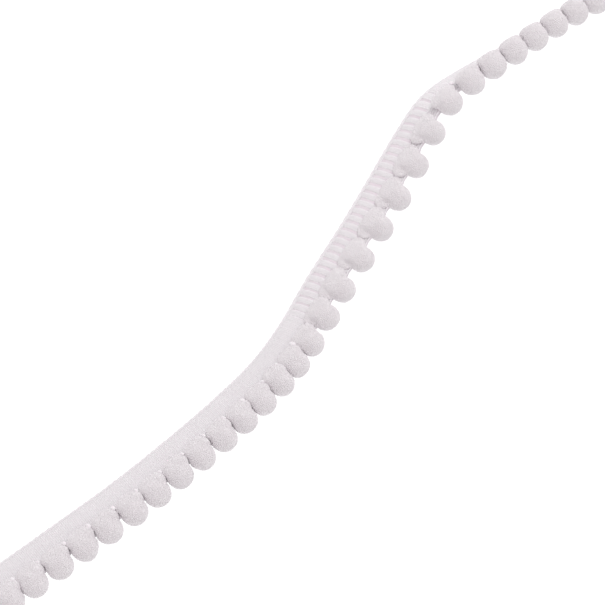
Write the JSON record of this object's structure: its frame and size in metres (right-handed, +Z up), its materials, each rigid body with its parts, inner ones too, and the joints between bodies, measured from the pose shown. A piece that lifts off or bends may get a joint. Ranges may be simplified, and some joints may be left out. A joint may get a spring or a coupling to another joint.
{
  "type": "pompom fringe trim",
  "caption": "Narrow knitted heading tape with a row of small yarn pompoms along one edge, lying in a loose S and twisted up on its edge towards one end.",
  "frame": {"origin": "on the surface that the trim lies on, under the middle of its outline", "axes": "+X along the trim from its resting end to the end that stands on edge, +Y from the pompoms to the tape, +Z up"},
  "size_m": [0.2066, 0.0308, 0.0112],
  "materials": {
    "heading_tape": "warp-knit tape of white polyester yarn, matt, with crosswise ribs and slots",
    "pompom_yarn": "cut white yarn pile, soft and matt"
  },
  "bodies": {
    "root": {"heading_tape": "heading_tape", "pompom_01": "pompom_yarn", "pompom_02": "pompom_yarn", "pompom_03": "pompom_yarn", "pompom_04": "pompom_yarn", "pompom_05": "pompom_yarn", "pompom_06": "pompom_yarn", "pompom_07": "pompom_yarn", "pompom_08": "pompom_yarn", "pompom_09": "pompom_yarn", "pompom_10": "pompom_yarn", "pompom_11": "pompom_yarn", "pompom_12": "pompom_yarn", "pompom_13": "pompom_yarn", "pompom_14": "pompom_yarn", "pompom_15": "pompom_yarn", "pompom_16": "pompom_yarn", "pompom_17": "pompom_yarn", "pompom_18": "pompom_yarn", "pompom_19": "pompom_yarn", "pompom_20": "pompom_yarn", "pompom_21": "pompom_yarn", "pompom_22": "pompom_yarn", "pompom_23": "pompom_yarn", "pompom_24": "pompom_yarn", "pompom_25": "pompom_yarn", "pompom_26": "pompom_yarn", "pompom_27": "pompom_yarn", "pompom_28": "pompom_yarn", "pompom_29": "pompom_yarn", "pompom_30": "pompom_yarn", "pompom_31": "pompom_yarn"}
  },
  "joints": []
}
